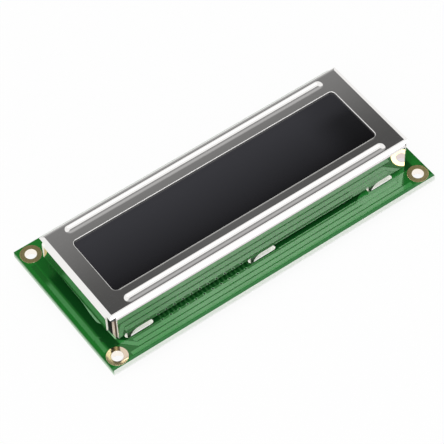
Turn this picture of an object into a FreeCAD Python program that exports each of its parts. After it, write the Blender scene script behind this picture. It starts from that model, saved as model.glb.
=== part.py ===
import FreeCAD, Part
import math
import os

"""Two-row character LCD module on an 80 x 36 mm board, in millimetres.

X runs along the long edge, Y towards the edge with the row of header holes, +Z out of the display.
The origin is the centre of the four mounting holes, on the back face of the board.
The module rests on the twisted heads of the bezel's six hook tabs, with the display facing up.
"""

V = FreeCAD.Vector
UP = V(0, 0, 1)

# Circuit board
board_length = 80.0
board_width = 36.0
board_thickness = 1.6
mount_edge_distance = 2.5
mount_hole_diameter = 2.5
mount_ring_diameter = 4.5

# Copper, shown thicker than its real 0.035 mm
copper_thickness = 0.05
header_hole_count = 16
header_pitch = 2.54
header_end_distance = 8.0
header_edge_distance = 2.5
header_hole_across = 1.0
header_pad_across = 1.8

# Sides of every small hole, pad and pin that repeats, so that it stays light
small_round_sides = 8

# The bezel and the display stack sit a little to the right of the board's middle
display_shift = 0.4

# Stamped bezel
bezel_end_margin = 2.75
bezel_side_margin = 5.15
bezel_height = 8.2
bezel_wall_gap = 0.95
end_wall_gap = 3.3
sheet_thickness = 0.4
bend_radius = 1.1
corner_relief = 1.6
window_end_margin = 4.8
window_side_margin = 5.35
window_corner_radius = 1.0
window_edge_round = 0.15
groove_end_margin = 5.45
groove_side_margin = 2.4
groove_width = 1.7
groove_lip_round = 0.8

# Hook tabs of the bezel and the slots that they pass through
tab_end_distance = 7.25
tab_shift = -0.4
slot_length = 6.7
slot_side_clearance = 0.7
slot_pad_margin = 0.6
tab_end_gap = 0.5
tab_neck_width = 0.7
tab_root_radius = 2.0
tab_notch_width = 0.5
tab_notch_height = 0.25
tab_head_length = 3.4
tab_head_height = 1.7
tab_head_chamfer = 0.5
tab_twist = 35.0
tab_seat_clearance = 0.05

# Display cell
glass_thickness = 1.1
glass_clearance_x = 0.5
glass_clearance_y = 0.3
contact_ledge = 2.6
seal_thickness = 0.05
seal_width = 1.2
seal_inset = 0.5
polarizer_thickness = 0.3
polarizer_margin = 1.2

# Conductive rubber strips and the contact fingers under them
strip_thickness = 1.0
strip_inset = 0.4
strip_end_gap = 0.65
finger_pitch = 2.5
finger_width = 1.2
finger_inner_reach = 0.2
finger_slot_gap = 0.1
finger_end_margin = 1.0

# Backlight
housing_strip_gap = 0.3
housing_end_gap = 1.0
housing_wall = 1.2
housing_ledge = 0.8
diffuser_thickness = 1.2
diffuser_clearance = 0.1
led_board_thickness = 0.8
led_rows = 2
led_pitch_x = 8.0
led_pitch_y = 8.0
led_size = 1.2
led_height = 0.6
led_end_distance = 2.5
lead_across = 0.6
lead_end_distance = 1.85
lead_pitch = 5.08
lead_hole_clearance = 0.1
lead_stick_out = 1.0
lead_solder_across = 2.0
lead_solder_height = 0.8

# Parts on the back of the board
glob_diameter = 17.0
glob_height = 1.3
glob_bands = 2
glob_sides = 32
glob_y = -1.5
controller_x = -17.5
driver_x = 16.5
chip_length = 3.2
chip_width = 1.6
chip_height = 0.6
chip_cap_length = 0.5
chip_cap_thickness = 0.05
chip_solder_length = 0.5
chip_solder_height = 0.35
resistor_count = 5
resistor_pitch = 2.6
resistor_column_x = -0.5
resistor_first_y = -6.5
capacitor_end_distance = 9.0
capacitor_y = 5.0

# Long traces round three sides of the bezel on the front of the board
trace_width = 0.93
trace_gap = 0.22
trace_edge_margin = 0.82
trace_ring_clearance = 0.35
trace_turn_before_ring = 4.9

# Levels and planes that follow from the sizes above
board_top = board_thickness
bezel_top = board_top + bezel_height
bezel_underside = bezel_top - sheet_thickness
wall_bottom = board_top + bezel_wall_gap
end_wall_bottom = board_top + end_wall_gap
mount_x = board_length / 2 - mount_edge_distance
mount_y = board_width / 2 - mount_edge_distance
wall_plane_x = board_length / 2 - bezel_end_margin
wall_plane_y = board_width / 2 - bezel_side_margin
wall_middle_y = wall_plane_y - sheet_thickness / 2
inner_half_length = wall_plane_x - sheet_thickness
inner_half_width = wall_plane_y - sheet_thickness
window_length = 2 * (wall_plane_x - window_end_margin)
window_width = 2 * (wall_plane_y - window_side_margin)
groove_half_length = wall_plane_x - groove_end_margin
groove_offset = wall_plane_y - groove_side_margin

# The grooves are pressed down until they bear on the front glass
groove_depth = polarizer_thickness
groove_section_radius = ((groove_width / 2) ** 2 + groove_depth ** 2) / (2 * groove_depth)

front_glass_top = bezel_underside - polarizer_thickness
front_glass_bottom = front_glass_top - glass_thickness
rear_glass_top = front_glass_bottom - seal_thickness
rear_glass_bottom = rear_glass_top - glass_thickness
rear_polarizer_bottom = rear_glass_bottom - polarizer_thickness
glass_length = 2 * (inner_half_length - glass_clearance_x)
glass_width = 2 * (inner_half_width - glass_clearance_y)
rear_glass_width = glass_width - 2 * contact_ledge

strip_bottom = board_top + copper_thickness
strip_outer_y = glass_width / 2 - strip_inset
strip_inner_y = strip_outer_y - strip_thickness
strip_middle_y = (strip_outer_y + strip_inner_y) / 2
strip_length = glass_length - 2 * strip_end_gap

housing_length = 2 * (inner_half_length - housing_end_gap)
housing_width = 2 * (strip_inner_y - housing_strip_gap)
diffuser_bottom = rear_polarizer_bottom - diffuser_thickness
led_board_top = board_top + led_board_thickness
light_box_length = housing_length - 2 * (housing_wall + diffuser_clearance)
light_box_width = housing_width - 2 * (housing_wall + diffuser_clearance)
lead_x = light_box_length / 2 - lead_end_distance

slot_middle_y = wall_middle_y
slot_width = sheet_thickness + 2 * slot_side_clearance
finger_inner_y = strip_inner_y - finger_inner_reach
finger_outer_y = slot_middle_y - slot_width / 2 - finger_slot_gap
tab_pitch = wall_plane_x - tab_end_distance
header_first_x = header_end_distance - board_length / 2
header_y = board_width / 2 - header_edge_distance
capacitor_x = board_length / 2 - capacitor_end_distance

# Distance below which two levels count as one
tiny = 0.001


def save(name, shape):
    """Write one node."""
    shape.exportStep("parts/" + name + ".step")


def block(length, width, bottom, top, x=0.0, y=0.0):
    """A box centred on x, y between two levels."""
    return Part.makeBox(length, width, top - bottom, V(x - length / 2, y - width / 2, bottom))


def disc(diameter, bottom, top, x=0.0, y=0.0):
    """An upright cylinder between two levels."""
    return Part.makeCylinder(diameter / 2, top - bottom, V(x, y, bottom))


def polygon_outline(across, level, x, y, sides=small_round_sides):
    """A closed outline of equal sides, measured across its flats."""
    step = 2 * math.pi / sides
    corner_radius = across / 2 / math.cos(step / 2)
    corners = []
    for i in range(sides + 1):
        angle = (i + 0.5) * step
        corners.append(V(x + corner_radius * math.cos(angle), y + corner_radius * math.sin(angle), level))
    return Part.makePolygon(corners)


def tapered(outlines):
    """A solid with flat faces between outlines of like shape, one above the other."""
    faces = [Part.Face(outlines[0]), Part.Face(outlines[-1])]
    for lower, upper in zip(outlines, outlines[1:]):
        for a, b in zip(lower.Edges, upper.Edges):
            a0, a1 = [v.Point for v in a.Vertexes]
            b0, b1 = [v.Point for v in b.Vertexes]
            faces.append(Part.Face(Part.makePolygon([a0, a1, b1, b0, a0])))
    return Part.Solid(Part.makeShell(faces))


def post(across, bottom, top, x, y):
    """An upright prism with few sides, for a small round thing that repeats."""
    return Part.Face(polygon_outline(across, bottom, x, y)).extrude(V(0, 0, top - bottom))


def stadium(length, width, bottom, top, x, y):
    """A slot form with round ends, long along X."""
    straight = length - width
    body = block(straight, width, bottom, top, x, y)
    for side in (-1, 1):
        body = body.fuse(disc(width, bottom, top, x + side * straight / 2, y))
    return body.removeSplitter()


def mirrored(shape):
    """The same shape on the other long side."""
    return shape.mirror(V(0, 0, 0), V(0, 1, 0))


def mount_points():
    """Centres of the four mounting holes."""
    return [(sx * mount_x, sy * mount_y) for sx in (-1, 1) for sy in (-1, 1)]


def header_points():
    """Centres of the header holes along the far edge."""
    return [(header_first_x + i * header_pitch, header_y) for i in range(header_hole_count)]


def slot_points():
    """Centres of the tab slots on the near side."""
    return [(tab_shift + i * tab_pitch, -slot_middle_y) for i in (-1, 0, 1)]


def lead_points(shift):
    """Centres of the two backlight leads, in the display stack's own place or shifted with it."""
    return [(lead_x + shift, side * lead_pitch / 2) for side in (-1, 1)]


def in_place(shape):
    """A piece of the display stack, moved to its place on the board."""
    shape.translate(V(display_shift, 0, 0))
    return shape


def spread(length, pitch):
    """Places at a pitch, even about the middle, as many as a length holds."""
    count = int(length // pitch) + 1
    return [(i - (count - 1) / 2) * pitch for i in range(count)]


def circuit_board():
    """The board with its mounting holes, header holes, lead holes and tab slots."""
    board = block(board_length, board_width, 0, board_top)
    cuts = []
    for x, y in mount_points():
        cuts.append(disc(mount_hole_diameter + 2 * copper_thickness, 0, board_top, x, y))
    for x, y in header_points():
        cuts.append(post(header_hole_across + 2 * copper_thickness, 0, board_top, x, y))
    for x, y in lead_points(display_shift):
        cuts.append(post(lead_across + 2 * lead_hole_clearance, 0, board_top, x, y))
    for x, y in slot_points():
        slot = stadium(slot_length, slot_width, 0, board_top, x, y)
        cuts += [slot, mirrored(slot)]
    return board.cut(Part.makeCompound(cuts))


def plated_hole(form, hole_size, pad_size, x, y):
    """A copper barrel with a flat ring on each face of the board; the form is disc or post."""
    outer = form(hole_size + 2 * copper_thickness, 0, board_top, x, y)
    front_pad = form(pad_size, board_top, board_top + copper_thickness, x, y)
    back_pad = form(pad_size, -copper_thickness, 0, x, y)
    hole = form(hole_size, -copper_thickness, board_top + copper_thickness, x, y)
    return outer.fuse([front_pad, back_pad]).cut(hole).removeSplitter()


def capsule(radius, side):
    """A bar with ball ends whose axis lies above a groove."""
    axis_z = bezel_top + groove_section_radius - groove_depth
    half = groove_half_length - groove_width / 2
    start = V(-half, side * groove_offset, axis_z)
    bar = Part.makeCylinder(radius, 2 * half, start, V(1, 0, 0))
    balls = [Part.makeSphere(radius, V(s * half, side * groove_offset, axis_z)) for s in (-1, 1)]
    return bar.fuse(balls).removeSplitter()


def bezel_shell():
    """The folded tray of sheet metal, bent down on four sides."""
    shells = []
    for inset, radius in ((0.0, bend_radius), (sheet_thickness, bend_radius - sheet_thickness)):
        level = bezel_top - inset
        solid = block(2 * (wall_plane_x - inset), 2 * (wall_plane_y - inset), wall_bottom, level)
        rim = [e for e in solid.Edges if all(abs(v.Z - level) < tiny for v in e.Vertexes)]
        shells.append(solid.makeFillet(radius, rim))
    return shells[0].cut(shells[1])


def wall_cuts():
    """The open corners, cut up to the underside of the top sheet, and the space below the short end walls."""
    size = 2 * corner_relief
    cuts = []
    for sx in (-1, 1):
        cuts.append(block(size, 2 * wall_plane_y, wall_bottom, end_wall_bottom, sx * wall_plane_x, 0))
        for sy in (-1, 1):
            cuts.append(block(size, size, wall_bottom, bezel_underside,
                              sx * wall_plane_x, sy * wall_plane_y))
    return cuts


def hook_tab(x):
    """A tab on the near wall: curved root, narrow neck, and a head twisted outwards below the board."""
    neck_left = x - slot_length / 2 + tab_end_gap
    neck_right = neck_left + tab_neck_width
    neck_middle = (neck_left + neck_right) / 2
    root_bottom = wall_bottom - tab_root_radius
    root_right = neck_right + tab_root_radius
    root_top = wall_bottom + sheet_thickness
    outer_y = -wall_plane_y
    swing = tab_root_radius * math.sqrt(0.5)
    mid_arc = V(root_right - swing, outer_y, root_bottom + swing)
    outline = [
        Part.LineSegment(V(neck_left, outer_y, root_top), V(neck_left, outer_y, root_bottom)),
        Part.LineSegment(V(neck_left, outer_y, root_bottom), V(neck_right, outer_y, root_bottom)),
        Part.Arc(V(neck_right, outer_y, root_bottom), mid_arc, V(root_right, outer_y, wall_bottom)),
        Part.LineSegment(V(root_right, outer_y, wall_bottom), V(root_right, outer_y, root_top)),
        Part.LineSegment(V(root_right, outer_y, root_top), V(neck_left, outer_y, root_top)),
    ]
    root = Part.Face(Part.Wire([c.toShape() for c in outline])).extrude(V(0, sheet_thickness, 0))

    head_top = -copper_thickness - tab_seat_clearance
    axis = V(neck_middle, -wall_middle_y, 0)
    sections = []
    for level, angle in ((root_bottom, 0.0), (head_top, -tab_twist)):
        corners = []
        for cx, cy in ((-1, -1), (1, -1), (1, 1), (-1, 1), (-1, -1)):
            corners.append(axis + V(cx * tab_neck_width / 2, cy * sheet_thickness / 2, level))
        section = Part.makePolygon(corners)
        section.rotate(axis, UP, angle)
        sections.append(section)
    twist = Part.makeLoft(sections, True, True)

    left = neck_middle - tab_neck_width / 2
    right = left + tab_head_length
    low = head_top - tab_head_height
    cut = tab_head_chamfer
    corners = ((left, head_top), (right - cut, head_top), (right, head_top - cut), (right, low + cut),
               (right - cut, low), (left + cut, low), (left, low + cut), (left, head_top))
    side = Part.Face(Part.makePolygon([V(cx, -wall_plane_y, cz) for cx, cz in corners]))
    head = side.extrude(V(0, sheet_thickness, 0))
    head.rotate(axis, UP, -tab_twist)
    return root.fuse([twist, head])


def flat_edges(shape, level, most_x, least_y, most_y):
    """Edges that lie in a level, within a distance of the middle along X and between two along Y."""
    edges = []
    for edge in shape.Edges:
        box = edge.BoundBox
        in_level = abs(box.ZMax - level) < tiny and abs(box.ZMin - level) < tiny
        in_length = box.XMax < most_x + tiny and box.XMin > -most_x - tiny
        low_y, high_y = sorted((abs(box.YMin), abs(box.YMax)))
        if box.YMin * box.YMax < 0:
            low_y = 0
        if in_level and in_length and low_y > least_y - tiny and high_y < most_y + tiny:
            edges.append(edge)
    return edges


def bezel():
    """The bezel in one piece: tray, window, pressed grooves, open corners and hook tabs."""
    shape = bezel_shell().cut(Part.makeCompound(wall_cuts()))

    window = block(window_length, window_width, bezel_underside, bezel_top)
    corners = [e for e in window.Edges if abs(e.Vertexes[0].Z - e.Vertexes[-1].Z) > sheet_thickness / 2]
    shape = shape.cut(window.makeFillet(window_corner_radius, corners))

    below = block(2 * wall_plane_x, 2 * wall_plane_y, board_top, bezel_underside)
    for side in (-1, 1):
        ridge = capsule(groove_section_radius + sheet_thickness, side).common(below)
        shape = shape.fuse(ridge).cut(capsule(groove_section_radius, side))

    rim = flat_edges(shape, bezel_top, window_length / 2, 0, window_width / 2)
    shape = shape.makeFillet(window_edge_round, rim)
    lips = flat_edges(shape, bezel_top, groove_half_length,
                      groove_offset - groove_width / 2, groove_offset + groove_width / 2)
    shape = shape.makeFillet(groove_lip_round, lips)

    for x in [point[0] - display_shift for point in slot_points()]:
        tab = hook_tab(x)
        neck_left = x - slot_length / 2 + tab_end_gap
        notch = block(tab_notch_width, sheet_thickness, wall_bottom, wall_bottom + tab_notch_height,
                      neck_left - tab_notch_width / 2, -wall_middle_y)
        shape = shape.fuse([tab, mirrored(tab)]).cut([notch, mirrored(notch)])
    return shape.removeSplitter()


def frame_ring(length, width, wall, bottom, top):
    """A rectangular ring of the given wall."""
    outer = block(length, width, bottom, top)
    return outer.cut(block(length - 2 * wall, width - 2 * wall, bottom, top))


def contact_fingers():
    """Plated fingers on the front of the board under the near rubber strip, clear of the tab slots."""
    length = finger_outer_y - finger_inner_y
    middle_y = (finger_outer_y + finger_inner_y) / 2
    fingers = []
    for x in spread(strip_length - finger_width - 2 * finger_end_margin, finger_pitch):
        fingers.append(block(finger_width, length, board_top, strip_bottom, x, -middle_y))
    return Part.makeCompound(fingers)


def rubber_strip():
    """The near conductive rubber strip, from the fingers up to the ledge of the front glass."""
    return block(strip_length, strip_thickness, strip_bottom, front_glass_bottom, 0, -strip_middle_y)


def backlight_housing():
    """Frame round the light box, with a ledge under the diffuser."""
    wall = frame_ring(housing_length, housing_width, housing_wall, board_top, rear_polarizer_bottom)
    ledge_bottom = diffuser_bottom - housing_ledge
    ledge_wall = housing_wall + housing_ledge
    ledge = frame_ring(housing_length, housing_width, ledge_wall, ledge_bottom, diffuser_bottom)
    return wall.fuse(ledge).removeSplitter()


def backlight_diffuser():
    """Milky plate that lies in the top of the housing."""
    return block(light_box_length, light_box_width, diffuser_bottom, rear_polarizer_bottom)


def backlight_board():
    """Small board for the light-emitting diodes, drilled for its two leads."""
    plate = block(light_box_length, light_box_width, board_top, led_board_top)
    for x, y in lead_points(0):
        plate = plate.cut(post(lead_across, board_top, led_board_top, x, y))
    return plate


def backlight_leds():
    """Rows of light-emitting chips on their board."""
    chips = []
    for row in range(led_rows):
        y = (row - (led_rows - 1) / 2) * led_pitch_y
        for x in spread(light_box_length - led_size - 2 * led_end_distance, led_pitch_x):
            chips.append(block(led_size, led_size, led_board_top, led_board_top + led_height, x, y))
    return Part.makeCompound(chips)


def backlight_lead(x, y):
    """A pin from the backlight's board down through the main board."""
    return post(lead_across, -lead_stick_out, led_board_top, x, y)


def lead_solder(x, y):
    """The solder cone round a lead on the back of the board."""
    tip = polygon_outline(lead_across + 2 * copper_thickness, -lead_solder_height, x, y)
    base = polygon_outline(lead_solder_across, 0, x, y)
    return tapered([tip, base]).cut(post(lead_across, -lead_solder_height, 0, x, y))


def glob_top(x):
    """A poured dome of black resin over a bare chip, in flat-sided bands of an oval profile."""
    step = math.pi / 2 / (glob_bands + 1)
    height_scale = glob_height / math.sin(glob_bands * step)
    rings = []
    for i in range(glob_bands + 1):
        across = glob_diameter * math.cos(i * step)
        rings.append(polygon_outline(across, -height_scale * math.sin(i * step), x, glob_y, glob_sides))
    return tapered(rings)


def chip_body(x, y):
    """Ceramic body of a chip part on the back of the board."""
    length = chip_length - 2 * chip_cap_thickness
    width = chip_width - 2 * chip_cap_thickness
    return block(length, width, -chip_height + chip_cap_thickness, -chip_cap_thickness, x, y)


def chip_caps(x, y):
    """The two wrapped end caps of a chip part."""
    body = chip_body(x, y)
    caps = []
    for side in (-1, 1):
        middle = x + side * (chip_length - chip_cap_length) / 2
        caps.append(block(chip_cap_length, chip_width, -chip_height, 0, middle, y).cut(body))
    return Part.makeCompound(caps)


def chip_solder(x, y):
    """Solder fillets at both ends of a chip part."""
    fillets = []
    for side in (-1, 1):
        end = x + side * chip_length / 2
        corners = [V(end, y, 0), V(end + side * chip_solder_length, y, 0), V(end, y, -chip_solder_height)]
        face = Part.Face(Part.makePolygon(corners + corners[:1]))
        face.translate(V(0, -chip_width / 2, 0))
        fillets.append(face.extrude(V(0, chip_width, 0)))
    return fillets


def slot_pads():
    """Copper frames round the tab slots on the back of the board."""
    pads = []
    for x, y in slot_points():
        frame = frame_ring(slot_length + 2 * slot_pad_margin, slot_width + 2 * slot_pad_margin,
                           slot_pad_margin, -copper_thickness, 0)
        frame.translate(V(x, y, 0))
        pads += [frame, mirrored(frame)]
    return Part.makeCompound(pads)


def trace(points):
    """A copper line of the set width along points on the front of the board, with mitred turns."""
    left, right = [], []
    for i, point in enumerate(points):
        before = (point - points[i - 1]).normalize() if i else None
        after = (points[i + 1] - point).normalize() if i + 1 < len(points) else None
        along = [d for d in (before, after) if d is not None]
        across = [V(-d.y, d.x, 0) for d in along]
        offset = (across[0] + across[-1]) * (trace_width / 2 / (1 + across[0].dot(across[-1])))
        left.append(point + offset)
        right.append(point - offset)
    outline = left + right[::-1] + left[:1]
    return Part.Face(Part.makePolygon(outline)).extrude(V(0, 0, copper_thickness))


def front_traces():
    """Three long lines on the near strip; the middle one turns past the mounting rings and up both ends."""
    pitch = trace_width + trace_gap
    side_x = board_length / 2 - trace_edge_margin - trace_width / 2
    outer_y = -board_width / 2 + trace_edge_margin + trace_width / 2
    middle_y = outer_y + pitch
    inner_y = middle_y + pitch
    ring_reach = mount_ring_diameter / 2 + trace_ring_clearance
    straight_x = mount_x - ring_reach
    turn_x = mount_x - trace_turn_before_ring
    inner_x = turn_x - trace_gap + trace_width / 2
    turn_end_y = middle_y + side_x - turn_x
    end_y = mount_y - ring_reach
    half = [(side_x, end_y), (side_x, turn_end_y), (turn_x, middle_y)]
    lines = []
    for path in ([(straight_x, outer_y)], half, [(inner_x, inner_y)]):
        path = path + [(-x, y) for x, y in reversed(path)]
        lines.append(trace([V(x, y, board_top) for x, y in path]))
    return Part.makeCompound(lines)


def main():
    """Build and write every node."""
    os.makedirs("parts", exist_ok=True)
    save("circuit_board", circuit_board())
    rings = [plated_hole(disc, mount_hole_diameter, mount_ring_diameter, x, y) for x, y in mount_points()]
    save("mounting_hole_plating", Part.makeCompound(rings))
    rings = [plated_hole(post, header_hole_across, header_pad_across, x, y) for x, y in header_points()]
    save("header_hole_plating", Part.makeCompound(rings))
    save("tab_slot_pads", slot_pads())
    save("front_traces", front_traces())
    save("contact_fingers_near", in_place(contact_fingers()))
    save("contact_fingers_far", in_place(mirrored(contact_fingers())))
    save("rubber_strip_near", in_place(rubber_strip()))
    save("rubber_strip_far", in_place(mirrored(rubber_strip())))
    save("bezel", in_place(bezel()))

    front_glass = block(glass_length, glass_width, front_glass_bottom, front_glass_top)
    rear_glass = block(glass_length, rear_glass_width, rear_glass_bottom, rear_glass_top)
    seal = frame_ring(glass_length - 2 * seal_inset, rear_glass_width - 2 * seal_inset,
                      seal_width, rear_glass_top, front_glass_bottom)
    polarizer_length = window_length + 2 * polarizer_margin
    polarizer_width = window_width + 2 * polarizer_margin
    front_film = block(polarizer_length, polarizer_width, front_glass_top, bezel_underside)
    rear_film = block(polarizer_length, polarizer_width, rear_polarizer_bottom, rear_glass_bottom)
    save("front_glass", in_place(front_glass))
    save("rear_glass", in_place(rear_glass))
    save("perimeter_seal", in_place(seal))
    save("front_polarizer", in_place(front_film))
    save("rear_polarizer", in_place(rear_film))

    save("backlight_housing", in_place(backlight_housing()))
    save("backlight_diffuser", in_place(backlight_diffuser()))
    save("backlight_board", in_place(backlight_board()))
    save("backlight_leds", in_place(backlight_leds()))
    for name, point in zip(("cathode", "anode"), lead_points(display_shift)):
        save("backlight_lead_" + name, backlight_lead(*point))
        save("lead_solder_" + name, lead_solder(*point))

    save("controller_glob", glob_top(controller_x))
    save("driver_glob", glob_top(driver_x))
    solder = []
    for i in range(resistor_count):
        name = "resistor_" + str(i + 1)
        y = resistor_first_y + i * resistor_pitch
        save(name, chip_body(resistor_column_x, y))
        save(name + "_end_caps", chip_caps(resistor_column_x, y))
        solder += chip_solder(resistor_column_x, y)
    save("capacitor", chip_body(capacitor_x, capacitor_y))
    save("capacitor_end_caps", chip_caps(capacitor_x, capacitor_y))
    solder += chip_solder(capacitor_x, capacitor_y)
    save("chip_solder", Part.makeCompound(solder))


main()
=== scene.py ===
import math

import bpy
import numpy as np
from bpy.props import FloatProperty, FloatVectorProperty, PointerProperty
from bpy.types import Operator, Panel, PropertyGroup
from mathutils import Euler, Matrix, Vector


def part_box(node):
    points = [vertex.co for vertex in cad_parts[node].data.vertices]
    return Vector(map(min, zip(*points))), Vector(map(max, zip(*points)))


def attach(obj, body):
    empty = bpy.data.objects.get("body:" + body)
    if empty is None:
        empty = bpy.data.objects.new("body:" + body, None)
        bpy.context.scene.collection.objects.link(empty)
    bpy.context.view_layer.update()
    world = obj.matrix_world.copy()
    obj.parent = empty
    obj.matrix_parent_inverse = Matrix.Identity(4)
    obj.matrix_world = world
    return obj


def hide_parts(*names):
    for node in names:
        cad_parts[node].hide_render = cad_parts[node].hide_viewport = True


bl_info = {
    "name": "Character LCD module finishes",
    "version": (1, 0, 0),
    "blender": (4, 5, 0),
    "location": "3D View > Sidebar > LCD Module",
    "description": "Finishes, fine circuit detail and a plain studio for a two-row display module",
    "category": "Object",
}

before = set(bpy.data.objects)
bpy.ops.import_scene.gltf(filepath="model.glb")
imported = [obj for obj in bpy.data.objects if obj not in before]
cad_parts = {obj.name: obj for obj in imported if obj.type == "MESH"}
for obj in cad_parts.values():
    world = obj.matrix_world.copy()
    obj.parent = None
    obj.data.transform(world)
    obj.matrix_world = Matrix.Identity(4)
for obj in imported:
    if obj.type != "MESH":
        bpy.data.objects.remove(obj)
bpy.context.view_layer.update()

MM = 0.001
BOARD_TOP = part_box("circuit_board")[1].z / MM
TAB_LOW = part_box("bezel")[0].z
BEZEL_MIDDLE = 0.4
FOIL = 0.03
SLOT_X, SLOT_Y = (-30.4, -0.4, 29.6), 12.65
SLOT_STRAIGHT = 2.45
MASK_IOR = 1.58


class BoardSettings(PropertyGroup):
    """Colours and fine sizes of the circuit board."""

    mask_colour: FloatVectorProperty(
        name="Solder mask", description="Green of the mask over bare laminate",
        subtype="COLOR", default=(0.014, 0.165, 0.022), min=0, max=1)
    copper_mask_colour: FloatVectorProperty(
        name="Mask over copper", description="Lighter green of the mask over copper",
        subtype="COLOR", default=(0.030, 0.235, 0.045), min=0, max=1)
    edge_colour: FloatVectorProperty(
        name="Cut edge", description="Pale glass-epoxy edge of the board",
        subtype="COLOR", default=(0.82, 0.87, 0.80), min=0, max=1)
    # Painted shade: this dark green stands for the shade under the bezel, and a share of it darkens the near strip.
    shade_green_colour: FloatVectorProperty(
        name="Mask over bare board", description="Darker green where no copper lies under the mask",
        subtype="COLOR", default=(0.005, 0.062, 0.010), min=0, max=1)
    plating_colour: FloatVectorProperty(
        name="Plating", description="Warm plated copper of rings and pads",
        subtype="COLOR", default=(0.63, 0.53, 0.25), min=0, max=1)
    stub_colour: FloatVectorProperty(
        name="Stubs", description="Mask over the contact stubs, in the wall's shadow",
        subtype="COLOR", default=(0.020, 0.115, 0.026), min=0, max=1)
    pour_colour: FloatVectorProperty(
        name="Slot pour", description="Mask over the copper round the right-hand slot",
        subtype="COLOR", default=(0.022, 0.205, 0.036), min=0, max=1)
    # Partly real, partly painted light: a masked line, made pale as a painted highlight in the wall's shade.
    line_highlight_colour: FloatVectorProperty(
        name="Pale line", description="Pale mask over the line under the left wall",
        subtype="COLOR", default=(0.33, 0.70, 0.36), min=0, max=1)
    via_pitch: FloatProperty(
        name="Via pitch", description="Pitch of the row of vias beside the contact stubs",
        subtype="DISTANCE", unit="LENGTH", default=2.04 * MM)


class BezelSettings(PropertyGroup):
    """Finish of the stamped sheet."""

    sheet_colour: FloatVectorProperty(
        name="Sheet", description="Reflection colour of the bright stamped sheet",
        subtype="COLOR", default=(0.88, 0.865, 0.85), min=0, max=1)
    sheet_roughness: FloatProperty(
        name="Sheet roughness", description="Roughness of the bright sheet",
        subtype="FACTOR", default=0.045, min=0, max=1)


class DisplaySettings(PropertyGroup):
    """Finish of the display cell."""

    film_colour: FloatVectorProperty(
        name="Film", description="Body colour of the dark polarizing film",
        subtype="COLOR", default=(0.006, 0.006, 0.008), min=0, max=1)
    # Painted reflection: the film's colour rises towards this sheen at the far edge.
    painted_sheen_colour: FloatVectorProperty(
        name="Sheen", description="Soft grey sheen of the film towards its far edge",
        subtype="COLOR", default=(0.0335, 0.0335, 0.0395), min=0, max=1)


class StageSettings(PropertyGroup):
    """Camera, light and floor."""

    camera_place: FloatVectorProperty(
        name="Camera place", description="Place of the camera",
        subtype="TRANSLATION", unit="LENGTH", default=(-159.148 * MM, -236.936 * MM, 374.231 * MM))
    camera_turn: FloatVectorProperty(
        name="Camera turn", description="Turn of the camera about X, Y and Z",
        subtype="EULER", unit="ROTATION", default=tuple(math.radians(a) for a in (37.213, 1.6827, -35.9107)))
    camera_lens: FloatProperty(
        name="Lens", description="Focal length in millimetres on a 36 mm frame", default=186.72, min=1)
    floor_colour: FloatVectorProperty(
        name="Floor", description="Colour of the plain floor",
        subtype="COLOR", default=(0.90, 0.90, 0.90), min=0, max=1)
    sky_level: FloatProperty(
        name="Sky level", description="Strength of the soft light from all round", default=0.78, min=0)


def add_node(tree, kind, inputs=None, **settings):
    """Adds one shader node, with its settings, and with values or other nodes' sockets on its inputs."""
    node = tree.nodes.new("ShaderNode" + kind)
    for key, value in settings.items():
        setattr(node, key, value)
    for key, value in (inputs or {}).items():
        if isinstance(value, bpy.types.NodeSocket):
            tree.links.new(value, node.inputs[key])
        else:
            node.inputs[key].default_value = value
    return node


def new_finish(name, colour, roughness, metallic=0.0, ior=1.5, shine=0.5):
    """A material with one principled shader; returns the material, its tree and the shader."""
    material = bpy.data.materials.new(name)
    material.use_nodes = True
    tree = material.node_tree
    shader = tree.nodes["Principled BSDF"]
    shader.inputs["Base Color"].default_value = (*colour, 1)
    shader.inputs["Roughness"].default_value = roughness
    shader.inputs["Metallic"].default_value = metallic
    shader.inputs["IOR"].default_value = ior
    shader.inputs["Specular IOR Level"].default_value = shine
    return material, tree, shader


def object_place(tree, stretch=(1, 1, 1)):
    """Object coordinates in millimetres, stretched along each axis."""
    coords = add_node(tree, "TexCoord")
    scale = tuple(s / MM for s in stretch)
    return add_node(tree, "Mapping", {"Vector": coords.outputs["Object"], "Scale": scale}).outputs["Vector"]


def place_parts(tree):
    """The x, y and z of object coordinates in millimetres."""
    return tuple(add_node(tree, "SeparateXYZ", {"Vector": object_place(tree)}).outputs)


def normal_parts(tree, output="Normal"):
    """The x, y and z of the surface's normal."""
    geometry = add_node(tree, "NewGeometry")
    return tuple(add_node(tree, "SeparateXYZ", {"Vector": geometry.outputs[output]}).outputs)


def noise(tree, place, scale):
    """Fractal noise from 0 to 1 at a place; the scale is per millimetre."""
    return add_node(tree, "TexNoise", {"Vector": place, "Scale": scale, "Detail": 2.0}).outputs["Fac"]


def between(tree, value, low, high, out_low=0.0, out_high=1.0):
    """A smooth step of a value from one range to another."""
    return add_node(tree, "MapRange", {"Value": value, "From Min": low, "From Max": high,
                                       "To Min": out_low, "To Max": out_high},
                    interpolation_type="SMOOTHSTEP").outputs["Result"]


def maths(tree, operation, a, b=0.0):
    """One arithmetic step on two values."""
    return add_node(tree, "Math", {0: a, 1: b}, operation=operation).outputs["Value"]


def product(tree, *factors):
    """The product of several values."""
    result = factors[0]
    for factor in factors[1:]:
        result = maths(tree, "MULTIPLY", result, factor)
    return result


def total(tree, *terms):
    """The sum of several values."""
    result = terms[0]
    for term in terms[1:]:
        result = maths(tree, "ADD", result, term)
    return result


def rest_of(tree, value):
    """What is left of 1 after a value."""
    return maths(tree, "SUBTRACT", 1.0, value)


def above(tree, value, limit):
    """1 where a value is over a limit, and 0 elsewhere."""
    return maths(tree, "GREATER_THAN", value, limit)


def below(tree, value, limit):
    """1 where a value is under a limit, and 0 elsewhere."""
    return maths(tree, "LESS_THAN", value, limit)


def distance(tree, value, middle=0.0):
    """How far a value is from a middle one."""
    return maths(tree, "ABSOLUTE", maths(tree, "SUBTRACT", value, middle))


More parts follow.
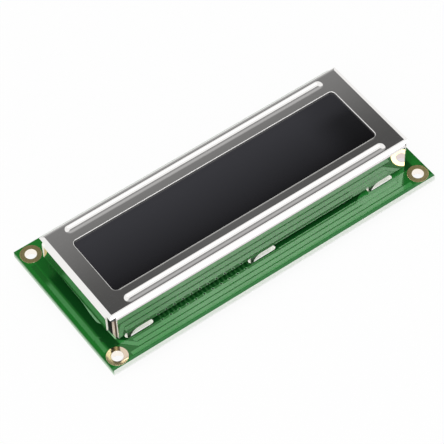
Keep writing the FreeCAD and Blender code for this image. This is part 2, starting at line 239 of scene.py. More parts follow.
def mix_colours(tree, factor, a, b):
    """A mix of two colours, each a colour or a socket."""
    pick = [c if isinstance(c, bpy.types.NodeSocket) else (*c, 1) for c in (a, b)]
    return add_node(tree, "Mix", {"Factor": factor, "A": pick[0], "B": pick[1]}, data_type="RGBA").outputs["Result"]


def shades(colour, depth):
    """A colour made darker and lighter by a share of itself."""
    return tuple(c * (1 - depth) for c in colour), tuple(min(c * (1 + depth), 1) for c in colour)


def mottle(tree, shader, colour, depth, scale, place=None):
    """Varies the base colour by a share of itself with soft noise."""
    pattern = noise(tree, place or object_place(tree), scale)
    result = mix_colours(tree, pattern, *shades(colour, depth))
    tree.links.new(result, shader.inputs["Base Color"])
    return result


def relief(tree, shader, height, depth, round_edge=0.0):
    """Bump from a height, over normals that are rounded near edges."""
    bump = add_node(tree, "Bump", {"Height": height, "Distance": depth * MM, "Strength": 1.0})
    if round_edge:
        bevel = add_node(tree, "Bevel", {"Radius": round_edge * MM}, samples=6)
        tree.links.new(bevel.outputs["Normal"], bump.inputs["Normal"])
    tree.links.new(bump.outputs["Normal"], shader.inputs["Normal"])


def finish_nodes(names, material):
    """Puts a material on the slots of CAD nodes."""
    for name in names:
        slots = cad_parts[name].material_slots
        if not slots:
            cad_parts[name].data.materials.append(material)
        for slot in slots:
            slot.link = "OBJECT"
            slot.material = material


def plain_finish(name, colour, roughness, depth, scale, nodes, ior=1.5):
    """A mottled material, put on CAD nodes."""
    material, tree, shader = new_finish(name, colour, roughness, ior=ior)
    mottle(tree, shader, colour, depth, scale)
    finish_nodes(nodes, material)


def grid_faces(rows, columns, count=1, closed_u=False, closed_v=False):
    """Quads of one or more grids of points; each joins a point to the next ones along both directions."""
    number = np.arange(rows * columns).reshape(rows, columns)
    if closed_u:
        number = np.concatenate([number, number[:1]], 0)
    if closed_v:
        number = np.concatenate([number, number[:, :1]], 1)
    quads = np.stack([number[:-1, :-1], number[:-1, 1:], number[1:, 1:], number[1:, :-1]], -1).reshape(-1, 4)
    return (quads[None] + (np.arange(count) * rows * columns)[:, None, None]).reshape(-1, 4)


def mesh_piece(name, vertices, faces, material, smooth=False):
    """An object of the part at the origin, from vertices in millimetres and lists of faces."""
    mesh = bpy.data.meshes.new(name)
    mesh.from_pydata((np.asarray(vertices, float).reshape(-1, 3) * MM).tolist(), [],
                     [face for group in faces for face in group.tolist()])
    mesh.update()
    if smooth:
        mesh.shade_smooth()
    piece = bpy.data.objects.new(name, mesh)
    bpy.context.scene.collection.objects.link(piece)
    piece.data.materials.append(material)
    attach(piece, "root")
    return piece


def turned(profile, centres, segments):
    """Closed rings of revolution about upright axes.

    Each point (r, z) of the closed profile goes round a full turn: x = cx + r cos t, y = cy + r sin t.
    """
    profile = np.asarray(profile, float)
    turn = np.arange(segments) * 2 * math.pi / segments
    ring = np.stack([profile[:, :1] * np.cos(turn), profile[:, :1] * np.sin(turn),
                     np.repeat(profile[:, 1:], segments, 1)], -1)
    middle = np.array([(x, y, 0) for x, y in centres], float)
    vertices = ring[None] + middle[:, None, None]
    return vertices, grid_faces(len(profile), segments, len(middle), closed_u=True, closed_v=True)


def poured_dome(centre, radius, height, rings, segments, phase):
    """A flat-based dome that hangs below the board, its rim a little wavy as poured resin is.

    For s from 0 at the rim to 1 at the tip: r = R w (1 - s^2.2)^0.62 and z = -H s^1.15, where
    w = 0.985 + 0.015 sin(3t + phase) fades to 1 at the tip; both poles are single points.
    """
    s = (np.arange(rings) / rings)[:, None]
    turn = (np.arange(segments) * 2 * math.pi / segments)[None]
    wave = 1 + (0.015 * np.sin(3 * turn + phase) - 0.015) * (1 - s)
    reach = radius * wave * (1 - s ** 2.2) ** 0.62
    level = np.broadcast_to(-height * s ** 1.15, reach.shape)
    skin = np.stack([centre[0] + reach * np.cos(turn), centre[1] + reach * np.sin(turn), level], -1)
    poles = [(centre[0], centre[1], 0), (centre[0], centre[1], -height)]
    base, tip = rings * segments, rings * segments + 1
    rim = np.arange(segments)
    after = np.roll(rim, -1)
    last = (rings - 1) * segments
    quads = grid_faces(rings, segments, closed_v=True)[:, ::-1]
    fans = np.concatenate([np.stack([rim, after, np.full(segments, base)], 1),
                           np.stack([last + after, last + rim, np.full(segments, tip)], 1)])
    return np.concatenate([skin.reshape(-1, 3), poles]), [quads, fans]


def collar(centre, inner, outer, bottom, top, segments):
    """A flat ring between two convex outlines about a centre, as thick as the two levels are apart.

    Each outline is a list of (angle, distance) half planes; its reach in the direction t is the least of
    distance / cos(t - angle) over the half planes that face that way.
    """
    turn = np.arange(segments) * 2 * math.pi / segments
    loops = []
    for planes in (inner, outer):
        angle, reach = np.asarray(planes, float).T
        facing = np.cos(turn[:, None] - angle[None])
        loops.append(np.where(facing > 0.01, reach[None] / np.maximum(facing, 0.01), np.inf).min(1))
    rows = [(loops[0], bottom), (loops[1], bottom), (loops[1], top), (loops[0], top)]
    vertices = np.stack([np.stack([centre[0] + reach * np.cos(turn), centre[1] + reach * np.sin(turn),
                                   np.full(segments, level)], -1) for reach, level in rows])
    return vertices, grid_faces(4, segments, closed_u=True, closed_v=True)


def ribbons(paths, width, bottom, top):
    """Flat bars along straight two-point paths: a rectangle is carried along each path.

    Its width goes evenly from the first to the second value where a pair is given.
    """
    paths = np.asarray(paths, float)
    width = np.asarray(width, float) * np.ones((len(paths), 2))
    along = paths[:, 1] - paths[:, 0]
    along /= np.linalg.norm(along, axis=1, keepdims=True)
    across = np.stack([-along[:, 1], along[:, 0]], -1) / 2
    corners = []
    for end in (0, 1):
        for side, level in ((1, bottom), (-1, bottom), (-1, top), (1, top)):
            flat = paths[:, end] + side * across * width[:, end, None]
            corners.append(np.concatenate([flat, np.full((len(flat), 1), level)], 1))
    vertices = np.stack(corners, 1)
    box = np.array([(0, 1, 2, 3), (7, 6, 5, 4), (0, 4, 5, 1), (1, 5, 6, 2), (2, 6, 7, 3), (3, 7, 4, 0)])
    faces = box[None] + (np.arange(len(paths)) * 8)[:, None, None]
    return vertices, faces.reshape(-1, 4)


class LCD_OT_finish_board(Operator):
    """Gives the circuit board its mask, edges, traces and plating"""

    bl_idname = "lcd.finish_board"
    bl_label = "Finish circuit board"
    # The contact row: its first stub, its vias' row, and its middle and half length along x.
    first_stub, via_row = -25.45, -13.62
    row_middle, row_half = -15.2, 10.9
    # Colours that belong to one place only; pairs are mixed by that place.
    # Painted shade: near black for the shade inside the via holes.
    via_shade_colour = (0.001, 0.012, 0.002)
    rim_colour = (0.05, 0.195, 0.065)
    # Painted light: the cut edges' foot is lighter towards the floor.
    lit_foot_colour = (0.96, 0.97, 0.95)
    left_edge_colours = (0.55, 0.70, 0.55), (0.07, 0.21, 0.08)
    # Painted light and shade on the slot walls, and a painted glow.
    slot_lit_shaded_colours = (1.0, 1.0, 0.97), (0.06, 0.16, 0.07)
    slot_glow, slot_glow_colour = 0.38, (1, 1, 0.92, 1)
    faded_colour = (0.012, 0.125, 0.018)
    # Painted reflection colours of the near-left ring.
    near_ring_reflection_colours = (0.97, 0.82, 0.46), (0.19, 0.17, 0.125)
    barrel_colour = (1.0, 0.94, 0.86)

    def execute(self, context):
        board = context.scene.lcd_board
        mask = self.finish_mask(board)
        self.add_slot_lips(mask)
        copper = self.finish_masked_copper(board)
        self.add_stubs(board, copper)
        self.add_left_lines(board, copper)
        self.add_slot_pour(board)
        self.add_back_traces(copper)
        self.add_header_rings(self.finish_plating(board))
        return {"FINISHED"}

    def finish_mask(self, board):
        """Green mask on the faces, pale laminate on the cut edges, and slot walls painted light and dark by which
        way they face, with a painted glow.
        """
        material, tree, shader = new_finish("solder_mask", board.mask_colour, 0.10, ior=MASK_IOR, shine=0.08)
        x, y, z = place_parts(tree)
        normal_x, normal_y, normal_z = normal_parts(tree)
        side = below(tree, distance(tree, normal_z), 0.5)
        in_slot = product(tree, below(tree, distance(tree, y), 13.8), below(tree, distance(tree, x), 38.0))
        away = above(tree, normal_y, 0.3)
        faces = self.face_colours(tree, board, x, y, above(tree, z, 1.0))
        edge = self.edge_colours(tree, board, z, below(tree, normal_x, -0.5))
        # Painted light and shade in the slots: walls that face the near side are near white, walls that face the
        # far side dark green.
        edge = mix_colours(tree, in_slot, edge, mix_colours(tree, away, *self.slot_lit_shaded_colours))
        tree.links.new(mix_colours(tree, side, faces, edge), shader.inputs["Base Color"])
        tree.links.new(between(tree, side, 0, 1, 0.10, 0.6), shader.inputs["Roughness"])
        # Painted light: the slot walls that face the near side glow faintly, standing for light through the
        # laminate.
        shader.inputs["Emission Color"].default_value = self.slot_glow_colour
        glow = product(tree, side, in_slot, rest_of(tree, away), self.slot_glow)
        tree.links.new(glow, shader.inputs["Emission Strength"])
        relief(tree, shader, noise(tree, object_place(tree, (1, 0.12, 1)), 3.0), 0.004)
        finish_nodes(["circuit_board"], material)
        return material

    def face_colours(self, tree, board, x, y, front):
        """The mottled mask: painted shade under the bezel and, fainter, along the near strip; pale at the near rim;
        vias with middles painted dark as shade.
        """
        colour = mix_colours(tree, noise(tree, object_place(tree), 0.12), *shades(board.mask_colour, 0.14))
        # Painted shade under the bezel, eased at the far left.
        under_bezel = product(tree, front, between(tree, distance(tree, y), 13.35, 13.55, 1.0, 0.0),
                              between(tree, distance(tree, x), 37.6, 38.2, 1.0, 0.0))
        far_left = product(tree, between(tree, y, 7.2, 9.4), below(tree, x, -35.0), 0.55)
        colour = mix_colours(tree, product(tree, under_bezel, rest_of(tree, far_left)), colour, board.shade_green_colour)
        colour = mix_colours(tree, between(tree, y, -17.15, -17.35), colour, self.rim_colour)
        colour = mix_colours(tree, between(tree, y, -17.90, -17.95), colour, board.edge_colour)
        # A share of the painted shade along the near strip.
        strip = product(tree, between(tree, y, -17.0, -16.8), between(tree, y, -13.6, -13.8), 0.35)
        colour = mix_colours(tree, strip, colour, board.shade_green_colour)
        return mix_colours(tree, self.via_shade_spots(tree, board, x, y, front), colour, self.via_shade_colour)

    def via_shade_spots(self, tree, board, x, y, front):
        """1 in the middles of the contact row's vias, which are a pitch apart; there they are painted dark as the
        shade inside the holes.
        """
        pitch = board.via_pitch / MM
        step = maths(tree, "SUBTRACT", x, self.first_stub - pitch / 2)
        along = maths(tree, "SUBTRACT", maths(tree, "MODULO", step, pitch), pitch / 2)
        across = maths(tree, "SUBTRACT", y, self.via_row)
        radius = maths(tree, "SQRT", total(tree, product(tree, along, along), product(tree, across, across)))
        in_row = between(tree, distance(tree, x, self.row_middle), self.row_half, self.row_half + 0.1, 1.0, 0.0)
        return product(tree, between(tree, radius, 0.16, 0.22, 1.0, 0.0), front, in_row)

    def edge_colours(self, tree, board, z, left):
        """Cut edges of pale layers with a foot painted lighter towards the floor; the left edge runs from green at
        the top to pale at the foot.
        """
        layers = noise(tree, object_place(tree, (0.2, 0.2, 6)), 1.0)
        colour = mix_colours(tree, layers, tuple(c * 0.94 for c in board.edge_colour), board.edge_colour)
        # Painted light: lighter towards the floor.
        colour = mix_colours(tree, between(tree, z, 0.1, 0.6, 1.0, 0.0), colour, self.lit_foot_colour)
        # The left edge goes from pale at the foot to green at the top.
        return mix_colours(tree, left, colour, mix_colours(tree, between(tree, z, 0.3, 1.5), *self.left_edge_colours))

    def finish_masked_copper(self, board):
        """Lighter mask over copper, less shiny towards the left and faded at both ends of the left strip."""
        colour = board.copper_mask_colour
        material, tree, shader = new_finish("masked_copper", colour, 0.17, ior=MASK_IOR, shine=0.34)
        flat = mottle(tree, shader, colour, 0.10, 0.3)
        x, y, _ = place_parts(tree)
        turn = product(tree, between(tree, y, -9.4, -10.2), between(tree, x, -38.3, -38.0))
        faded = product(tree, maths(tree, "MAXIMUM", between(tree, y, 6.0, 8.2), turn),
                        between(tree, x, -35.2, -35.8))
        # The left traces fade into the board's colour: by the near-left corner into the painted shade green, at the
        # far end into a dimmer green.
        hidden = mix_colours(tree, below(tree, y, 0.0), self.faded_colour, board.shade_green_colour)
        tree.links.new(mix_colours(tree, faded, flat, hidden), shader.inputs["Base Color"])
        shine = maths(tree, "MAXIMUM", between(tree, x, -28.0, -17.0, 0.22, 0.34),
                      between(tree, x, -36.0, -37.2, 0.22, 0.34))
        shine = product(tree, shine, between(tree, faded, 0, 1, 1.0, 0.25))
        tree.links.new(shine, shader.inputs["Specular IOR Level"])
        relief(tree, shader, noise(tree, object_place(tree, (0.2, 1, 1)), 2.0), 0.004, 0.05)
        finish_nodes(["front_traces", "backlight_board"], material)
        return material

    def finish_plating(self, board):
        """Warm plating with bright barrels; the near-left ring has a painted reflection: paler, and duller where it
        mirrors the wall.
        """
        material, tree, shader = new_finish("plated_copper", board.plating_colour, 0.12, metallic=1.0)
        flat = mottle(tree, shader, board.plating_colour, 0.05, 0.9)
        x, y, _ = place_parts(tree)
        # Painted reflection on the near-left ring: pale overall, dark brown along the band where it mirrors the
        # wall.
        near_ring_reflection = product(tree, below(tree, x, -34.0), below(tree, y, -13.0))
        lean = maths(tree, "SUBTRACT", x, product(tree, maths(tree, "ADD", y, 15.5), 0.671))
        mirrored = product(tree, between(tree, lean, -37.25, -36.95), between(tree, y, -17.15, -16.95))
        flat = mix_colours(tree, near_ring_reflection, flat, mix_colours(tree, mirrored, *self.near_ring_reflection_colours))
        upright = below(tree, distance(tree, normal_parts(tree)[2]), 0.5)
        tree.links.new(mix_colours(tree, upright, flat, self.barrel_colour), shader.inputs["Base Color"])
        relief(tree, shader, noise(tree, object_place(tree), 2.0), 0.003, 0.04)
        finish_nodes(["mounting_hole_plating", "tab_slot_pads", "contact_fingers_near", "contact_fingers_far",
                      "backlight_lead_anode", "backlight_lead_cathode"], material)
        return material

    def add_stubs(self, board, material):
        """Masked stubs of the contact row that stick out under the near wall; every second one ends in a via."""
        count = 22
        step = board.via_pitch / MM / 2
        x = self.first_stub + step * np.arange(count)
        reach = np.where(np.arange(count) % 2 == 0, self.via_row + 0.3, -13.1 - 0.12 * (np.arange(count) * 5 % 4))
        paths = np.stack([np.stack([x, np.full(count, -11.65)], 1), np.stack([x, reach], 1)], 1)
        shaded, tree, shader = new_finish("shaded_copper", board.stub_colour, 0.2, ior=MASK_IOR, shine=0.25)
        mottle(tree, shader, board.stub_colour, 0.3, 0.8)
        low, high = BOARD_TOP, BOARD_TOP + FOIL
        vertices, faces = ribbons(paths, step * 0.42, low, high)
        mesh_piece("contact_stubs", vertices, [faces], shaded)
        vias = [(place, self.via_row) for place in x[::2]]
        vertices, faces = turned([(0.2, low), (0.4, low), (0.4, high), (0.2, high)], vias, 16)
        mesh_piece("contact_vias", vertices, [faces], material)
        thin = [((3.3, -13.5), (22.95, -13.5)), ((22.95, -13.38), (22.95, -14.3))]
        vertices, faces = ribbons(thin, 0.22, low, high)
        mesh_piece("slot_line", vertices, [faces], material)

    def add_left_lines(self, board, material):
        """The line that swells and narrows under the left wall, its mask made pale as a painted highlight in the
        wall's shade, and the outer trace's end by the ring.
        """
        # Painted highlight: the line's pale mask stands for the bright streak in the wall's shade.
        pale, tree, shader = new_finish("line_highlight_mask", board.line_highlight_colour, 0.3, ior=MASK_IOR)
        mottle(tree, shader, board.line_highlight_colour, 0.12, 0.6)
        bends = [(-35.64, 6.6), (-35.64, -0.6), (-35.74, -3.4), (-35.80, -6.2), (-35.6, -7.3), (-35.45, -12.2)]
        widths = [0.24, 0.34, 0.72, 0.86, 0.3, 0.26]
        vertices, faces = ribbons(list(zip(bends[:-1], bends[1:])), list(zip(widths[:-1], widths[1:])),
                                  BOARD_TOP, BOARD_TOP + FOIL)
        mesh_piece("end_line", vertices, [faces], pale)
        vertices, faces = ribbons([((-38.68, -9.9), (-38.68, -13.3))], 0.86, BOARD_TOP, BOARD_TOP + FOIL)
        mesh_piece("corner_run", vertices, [faces], material)

    def slot_outline(self, half_width, straight=SLOT_STRAIGHT):
        """Half planes of a slot: a straight middle of twice the straight length, and round ends."""
        angle = np.arange(32) * 2 * math.pi / 32
        return np.stack([angle, straight * np.abs(np.cos(angle)) + half_width], 1)

    def add_slot_lips(self, material):
        """The board's own rim round the six tab slots, which leaves them 1.1 mm wide."""
        segments = 96
        inner, outer = self.slot_outline(0.55, 2.75), self.slot_outline(0.94)
        groups = [collar((x, y), inner, outer, 0.0, BOARD_TOP + 0.004, segments)
                  for x in SLOT_X for y in (-SLOT_Y, SLOT_Y)]
        vertices = np.concatenate([g[0].reshape(-1, 3) for g in groups])
        faces = np.concatenate([g[1] + i * 4 * segments for i, g in enumerate(groups)])
        mesh_piece("slot_lips", vertices, [faces], material)

    def add_slot_pour(self, board):
        """Masked copper round the right-hand slot; its far corner is cut at 45 degrees."""
        pour, tree, shader = new_finish("pour_mask", board.pour_colour, 0.17, ior=MASK_IOR, shine=0.27)
        mottle(tree, shader, board.pour_colour, 0.08, 0.5)
        outer = [(0, 6.4), (math.pi / 2, 0.98), (math.radians(118.8), 2.43), (math.pi, 6.4),
                 (-math.pi / 2, 2.5), (-math.pi / 4, 3.9)]
        slot = self.slot_outline(0.70)
        vertices, faces = collar((SLOT_X[2], -SLOT_Y), slot, outer, BOARD_TOP, BOARD_TOP + 0.04, 96)
        mesh_piece("slot_pour", vertices, [faces], pour)

    def add_back_traces(self, material):
        """Masked lines on the back: from each dome to the header holes, and out to the sides, with vias."""
        paths, vias = [], []
        for x in -24.38 + 2.54 * np.arange(7):
            foot = (x * 0.82 - 2.9, 5.9)
            paths += [(foot, (x, 10.0)), ((x, 10.0), (x, 14.4))]
        for i, y in enumerate(np.linspace(-6.4, 3.4, 11)):
            end = (-33.6 - 0.9 * (i % 2), y * 1.05 - 0.1)
            paths.append(((-25.0, y), end))
            vias.append(end)
        for i, y in enumerate(np.linspace(-5.2, 3.9, 9)):
            end = (26.6 + 1.1 * (i % 2), y)
            paths.append(((23.8, y), end))
            vias.append(end)
        for y in np.linspace(-6.5, 3.9, 5):
            paths += [((-9.6, y), (-2.9, y)), ((1.9, y), (8.6, y))]
        for x in 9.0 + 1.5 * np.arange(11):
            paths.append(((x, 6.4 - 0.03 * (x - 16.5) ** 2), (x, 8.6)))
            vias.append((x, 8.6))
        vertices, faces = ribbons(paths, 0.34, -FOIL, 0.0)
        mesh_piece("back_traces", vertices, [faces], material)
        low = -1.5 * FOIL
        vertices, faces = turned([(0.16, low), (0.36, low), (0.36, 0.0), (0.16, 0.0)], vias, 14)
        mesh_piece("back_vias", vertices, [faces], material)

    def add_header_rings(self, material):
        """Smooth plated barrels and pads that stand for the eight-sided ones of the header."""
        low, high = (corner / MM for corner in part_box("header_hole_plating"))
        pitch, hole, pad, copper = 2.54, 0.5, (high.y - low.y) / 2, 0.05
        centres = [(low.x + pad + pitch * i, (low.y + high.y) / 2) for i in range(16)]
        top = BOARD_TOP
        profile = [(hole, -copper), (pad, -copper), (pad, 0), (hole + copper, 0), (hole + copper, top),
                   (pad, top), (pad, top + copper), (hole, top + copper)]
        vertices, faces = turned(profile, centres, 28)
        piece = mesh_piece("header_rings", vertices, [faces], material)
        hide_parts("header_hole_plating")


class LCD_OT_finish_bezel(Operator):
    """Gives the stamped bezel its bright rolled sheet"""

    bl_idname = "lcd.finish_bezel"
    bl_label = "Finish bezel"
    # Pale matte colour of the cut edges, also used for painted highlights on the window's near rim and the far-left
    # corner.
    cut_and_highlight_colour = (0.95, 0.94, 0.88)
    # Painted reflection: dark line on the window's far rolled edge.
    window_edge_reflection_colour = (0.30, 0.295, 0.29)
    # Painted reflection: tint of the near wall's sheet so the board it mirrors looks greyer.
    near_wall_reflection_tint = (0.80, 0.73, 0.76)

    def execute(self, context):
        bezel = context.scene.lcd_bezel
        material, tree, shader = new_finish("bezel_sheet", bezel.sheet_colour, bezel.sheet_roughness, metallic=1.0)
        flat = mottle(tree, shader, bezel.sheet_colour, 0.03, 0.1)
        place = place_parts(tree)
        facing = normal_parts(tree, "True Normal")
        # Painted reflection: a dark grey line along the window's far rolled edge.
        far_edge = product(tree, between(tree, facing[1], -0.3, -0.5), above(tree, place[2], 8.8),
                           between(tree, place[1], 6.8, 7.0), between(tree, place[1], 8.2, 8.0))
        flat = mix_colours(tree, far_edge, flat, self.window_edge_reflection_colour)
        # Painted reflection: the near wall is tinted so the green board it mirrors looks greyer.
        near_wall = product(tree, below(tree, facing[1], -0.95), below(tree, place[1], -12.0))
        flat = mix_colours(tree, near_wall, flat, self.near_wall_reflection_tint)
        # Pale matte on the cut edges, and painted highlights on the window's near rim and the far-left corner.
        cut = self.pale_edges_and_highlights(tree, *place, *facing[:2])
        tree.links.new(mix_colours(tree, cut, flat, self.cut_and_highlight_colour), shader.inputs["Base Color"])
        tree.links.new(rest_of(tree, cut), shader.inputs["Metallic"])
        rolled = noise(tree, object_place(tree, (0.1, 1, 1)), 5.0)
        tree.links.new(between(tree, rolled, 0.3, 0.7, bezel.sheet_roughness * 0.9, bezel.sheet_roughness * 1.15),
                       shader.inputs["Roughness"])
        relief(tree, shader, rolled, 0.0005, 0.12)
        finish_nodes(["bezel"], material)
        return {"FINISHED"}

    def pale_edges_and_highlights(self, tree, x, y, z, facing_x, facing_y):
        """How matte and pale the sheet is: on its cut edges, and as painted highlights on the window's near rim and
        the far-left corner.
        """
        from_middle = distance(tree, x, BEZEL_MIDDLE)
        ends = product(tree, below(tree, from_middle, 36.2), above(tree, distance(tree, facing_x), 0.9))
        sides = product(tree, below(tree, distance(tree, y), 11.8), above(tree, distance(tree, facing_y), 0.9))
        cut = product(tree, maths(tree, "MAXIMUM", ends, sides), below(tree, z, 9.3))
        # Painted highlight: a thin pale band on the window's near rim, standing for the light on its rounded edge.
        rim = product(tree, between(tree, y, -7.88, -7.78), between(tree, y, -7.3, -7.4), above(tree, z, 9.5),
                      between(tree, from_middle, 31.2, 31.8, 1.0, 0.0), 0.3)
        # Painted highlight: a pale wedge on the far-left corner, standing for the light on the rolled corner.
        lean = product(tree, maths(tree, "SUBTRACT", z, 3.0), 0.16)
        corner_highlight = product(tree, between(tree, total(tree, y, lean), 11.2, 11.4), below(tree, x, -36.6))
        return maths(tree, "MAXIMUM", maths(tree, "MAXIMUM", cut, rim), corner_highlight)


class LCD_OT_finish_display(Operator):
    """Gives the display cell its dark film and glass"""

    bl_idname = "lcd.finish_display"
    bl_label = "Finish display cell"

    def execute(self, context):
        display = context.scene.lcd_display
        material, tree, shader = new_finish("dark_film", display.film_colour, 0.04)
        x, y, _ = place_parts(tree)
        # The film's base colour is a painted reflection: dark at the near side, rising to the grey sheen towards
        # the far edge, weaker on the right.
        across = add_node(tree, "MapRange", {"Value": y, "From Min": -8.2, "From Max": 6.0}).outputs["Result"]
        right = product(tree, between(tree, x, 21.0, 30.0), between(tree, y, 0.0, 4.0, 0.62, 0.25))
        sheen = product(tree, maths(tree, "POWER", across, 0.6), rest_of(tree, right))
        dark = tuple(c * 0.1 for c in display.film_colour)
        tree.links.new(mix_colours(tree, sheen, dark, display.painted_sheen_colour), shader.inputs["Base Color"])
        finish_nodes(["front_polarizer", "rear_polarizer"], material)

        plain_finish("cell_glass", (0.10, 0.11, 0.12), 0.06, 0.1, 0.2, ["front_glass", "rear_glass"], ior=1.52)
        plain_finish("seal_resin", (0.35, 0.33, 0.28), 0.5, 0.1, 1.0, ["perimeter_seal"])

        rubber, shaded = (1.0, 0.79, 0.68), (0.22, 0.15, 0.11)
        material, tree, shader = new_finish("silicone_rubber", rubber, 0.6)
        skin = mottle(tree, shader, rubber, 0.12, 1.5, object_place(tree, (1, 1, 0.2)))
        side = above(tree, distance(tree, normal_parts(tree)[1]), 0.5)
        tree.links.new(mix_colours(tree, side, skin, shaded), shader.inputs["Base Color"])
        finish_nodes(["rubber_strip_near", "rubber_strip_far"], material)
        return {"FINISHED"}


class LCD_OT_finish_light_box(Operator):
    """Gives the light box its milky plastics, and a housing whose black is painted shade"""

    bl_idname = "lcd.finish_light_box"
    bl_label = "Finish light box"

    def execute(self, context):
        # Painted shade: the housing is made black to stand for the shade inside the bezel's open corners.
        plain_finish("black_plastic", (0.02, 0.02, 0.021), 0.4, 0.05, 0.4, ["backlight_housing"])
        plain_finish("milky_plastic", (0.86, 0.87, 0.84), 0.4, 0.05, 0.4, ["backlight_diffuser"])
        plain_finish("diode_resin", (0.80, 0.76, 0.42), 0.4, 0.05, 0.4, ["backlight_leds"])
        return {"FINISHED"}


class LCD_OT_finish_back_parts(Operator):
    """Gives the chips, solder and resin domes on the back their finishes"""

    bl_idname = "lcd.finish_back_parts"
    bl_label = "Finish parts on the back"

    def execute(self, context):
        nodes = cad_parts
        end_caps = [n for n in nodes if n.endswith("end_caps")]
        solder = (0.72, 0.72, 0.70)
        material, tree, shader = new_finish("bright_solder", solder, 0.22, metallic=1.0)
        mottle(tree, shader, solder, 0.1, 2.0)
        relief(tree, shader, noise(tree, object_place(tree), 2.5), 0.02, 0.08)
        finish_nodes(end_caps + [n for n in nodes if "solder" in n], material)

        resistors = [n for n in nodes if n.startswith("resistor") and n not in end_caps]
        plain_finish("resistor_glaze", (0.02, 0.02, 0.022), 0.25, 0.2, 2.0, resistors)
        plain_finish("capacitor_ceramic", (0.46, 0.34, 0.22), 0.45, 0.12, 2.0, ["capacitor"])

        resin = (0.012, 0.012, 0.012)
        material, tree, shader = new_finish("black_resin", resin, 0.22)
        mottle(tree, shader, resin, 0.2, 0.5)
        relief(tree, shader, noise(tree, object_place(tree), 0.25), 0.05)
        for name, phase in (("controller_glob", 0.4), ("driver_glob", 2.1)):
            low, high = (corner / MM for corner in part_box(name))
            centre = ((low.x + high.x) / 2, (low.y + high.y) / 2)
            vertices, faces = poured_dome(centre, (high.x - low.x) / 2, high.z - low.z, 14, 72, phase)
            piece = mesh_piece(name + "_dome", vertices, faces, material, smooth=True)
            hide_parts(name)
        return {"FINISHED"}


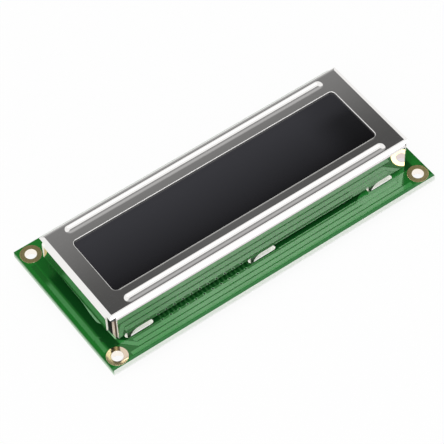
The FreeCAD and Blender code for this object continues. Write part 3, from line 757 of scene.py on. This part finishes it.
class LCD_OT_set_stage(Operator):
    """Adds the floor, the soft light and the camera"""

    bl_idname = "lcd.set_stage"
    bl_label = "Set the stage"
    floor_half = 3.0
    lamp_place, lamp_size, lamp_watts = (-0.35, -0.25, 0.6), 0.5, 1.6

    def execute(self, context):
        stage = context.scene.lcd_stage
        self.add_floor(stage)
        self.light_sky(stage)
        lamp_data = bpy.data.lights.new("soft_box", "AREA")
        lamp_data.size = self.lamp_size
        lamp_data.energy = self.lamp_watts
        lamp = bpy.data.objects.new("soft_box", lamp_data)
        lamp.location = self.lamp_place
        lamp.rotation_euler = (Vector((0, 0, 0)) - lamp.location).to_track_quat("-Z", "Y").to_euler()
        context.scene.collection.objects.link(lamp)

        camera_data = bpy.data.cameras.new("camera")
        camera_data.lens = stage.camera_lens
        camera_data.sensor_width = 36
        camera = bpy.data.objects.new("camera", camera_data)
        camera.location = stage.camera_place
        camera.rotation_euler = Euler(stage.camera_turn)
        context.scene.collection.objects.link(camera)
        context.scene.camera = camera
        context.scene.view_settings.view_transform = "Standard"
        return {"FINISHED"}

    def add_floor(self, stage):
        """A wide plane that looks white to the eye and in reflections, and still takes a soft shadow.

        It is clear from below, so the back of the module can be looked at.
        """
        material, tree, shader = new_finish("floor", stage.floor_colour, 0.9)
        mottle(tree, shader, stage.floor_colour, 0.01, 0.02)
        glow = add_node(tree, "Emission", {"Color": (1, 1, 1, 1), "Strength": 1.0})
        rays = add_node(tree, "LightPath")
        seen = maths(tree, "MAXIMUM", rays.outputs["Is Camera Ray"], rays.outputs["Is Glossy Ray"])
        seen = maths(tree, "MAXIMUM", seen, rays.outputs["Is Transmission Ray"])
        blend = add_node(tree, "MixShader", {0: product(tree, seen, 0.93),
                                             1: shader.outputs["BSDF"], 2: glow.outputs["Emission"]})
        from_below = add_node(tree, "NewGeometry").outputs["Backfacing"]
        clear = add_node(tree, "BsdfTransparent")
        shown = add_node(tree, "MixShader", {0: from_below, 1: blend.outputs["Shader"], 2: clear.outputs["BSDF"]})
        tree.links.new(shown.outputs["Shader"], tree.nodes["Material Output"].inputs["Surface"])
        mesh = bpy.data.meshes.new("floor")
        half = self.floor_half
        corners = [(-half, -half, TAB_LOW), (half, -half, TAB_LOW), (half, half, TAB_LOW), (-half, half, TAB_LOW)]
        mesh.from_pydata(corners, [], [(0, 1, 2, 3)])
        floor = bpy.data.objects.new("floor", mesh)
        bpy.context.scene.collection.objects.link(floor)
        floor.data.materials.append(material)

    def light_sky(self, stage):
        """An even white sky to the eye; in reflections it has grey panels and a bright band.

        Their places are told by the slopes x/z and y/z of a ray, so their sides run along the object's X and Y.
        """
        world = bpy.data.worlds.new("studio")
        bpy.context.scene.world = world
        world.use_nodes = True
        tree = world.node_tree
        back = tree.nodes["Background"]
        coords = add_node(tree, "TexCoord")
        rays = add_node(tree, "LightPath")
        ray_x, ray_y, ray_z = tuple(add_node(tree, "SeparateXYZ", {"Vector": coords.outputs["Generated"]}).outputs)
        mirrored = product(tree, rays.outputs["Is Glossy Ray"], self.mirrored_level(tree, ray_x, ray_y, ray_z))
        plain = maths(tree, "MAXIMUM", rays.outputs["Is Camera Ray"], rays.outputs["Is Transmission Ray"])
        unseen = rest_of(tree, maths(tree, "MAXIMUM", plain, rays.outputs["Is Glossy Ray"]))
        strength = total(tree, mirrored, plain, product(tree, unseen, stage.sky_level))
        back.inputs["Color"].default_value = (1, 1, 1, 1)
        tree.links.new(strength, back.inputs["Strength"])

    def mirrored_level(self, tree, ray_x, ray_y, ray_z):
        """The sky's strength in reflections: 1, with a far panel, a brighter near side and a rear panel."""
        rise = maths(tree, "MAXIMUM", ray_z, 0.02)
        slope_x = maths(tree, "DIVIDE", ray_x, rise)
        slope_y = maths(tree, "DIVIDE", ray_y, rise)
        away = maths(tree, "DIVIDE", ray_x, maths(tree, "MAXIMUM", ray_y, 0.02))
        panel = product(tree, between(tree, slope_y, 0.45, 0.55), between(tree, slope_x, 0.24, 0.31),
                        between(tree, away, 1.0, 0.88))
        swell = product(tree, between(tree, slope_x, 0.34, 0.42), between(tree, slope_x, 0.51, 0.43), 0.04)
        low = between(tree, slope_y, 0.62, 0.70, total(tree, swell, 0.08), 0.25)
        lip = product(tree, between(tree, slope_y, 1.0, 1.25), between(tree, slope_y, 1.75, 1.5), -0.22)
        grey = total(tree, low, between(tree, slope_y, 0.70, 1.1, 0.0, 0.24), lip)
        near_band = product(tree, between(tree, slope_y, -0.38, -0.48), between(tree, slope_y, -0.85, -0.75), 3.0)
        level = total(tree, product(tree, panel, maths(tree, "SUBTRACT", grey, 1.0)), 1.0,
                      between(tree, slope_y, -0.1, -0.45), near_band)
        lean = total(tree, slope_x, product(tree, slope_y, 0.4))
        rear = maths(tree, "MAXIMUM", between(tree, slope_x, -0.25, -0.45), between(tree, lean, 0.38, 0.48))
        rear = product(tree, rear, between(tree, slope_y, -0.25, -0.5), 0.82)
        return product(tree, level, rest_of(tree, rear))


class LCD_PT_module(Panel):
    """Lists the steps of the module's look in the 3D view's sidebar"""

    bl_idname = "LCD_PT_module"
    bl_label = "Character LCD module"
    bl_space_type = "VIEW_3D"
    bl_region_type = "UI"
    bl_category = "LCD Module"

    def draw(self, context):
        for step in STEPS:
            self.layout.operator(step.bl_idname)
        for group in SETTINGS:
            settings = getattr(context.scene, group)
            for name in settings.__annotations__:
                self.layout.prop(settings, name)


SETTINGS = {"lcd_board": BoardSettings, "lcd_bezel": BezelSettings,
            "lcd_display": DisplaySettings, "lcd_stage": StageSettings}
STEPS = (LCD_OT_finish_board, LCD_OT_finish_bezel, LCD_OT_finish_display, LCD_OT_finish_light_box,
         LCD_OT_finish_back_parts, LCD_OT_set_stage)


def register():
    """Registers the settings, the steps and the panel."""
    for name, group in SETTINGS.items():
        bpy.utils.register_class(group)
        setattr(bpy.types.Scene, name, PointerProperty(type=group))
    for step in STEPS:
        bpy.utils.register_class(step)
    bpy.utils.register_class(LCD_PT_module)


def unregister():
    """Takes back what register added."""
    bpy.utils.unregister_class(LCD_PT_module)
    for step in reversed(STEPS):
        bpy.utils.unregister_class(step)
    for name, group in SETTINGS.items():
        delattr(bpy.types.Scene, name)
        bpy.utils.unregister_class(group)


def main():
    """Runs every step in order."""
    register()
    for step in STEPS:
        kind, name = step.bl_idname.split(".")
        getattr(getattr(bpy.ops, kind), name)()


if __name__ == "__main__":
    main()
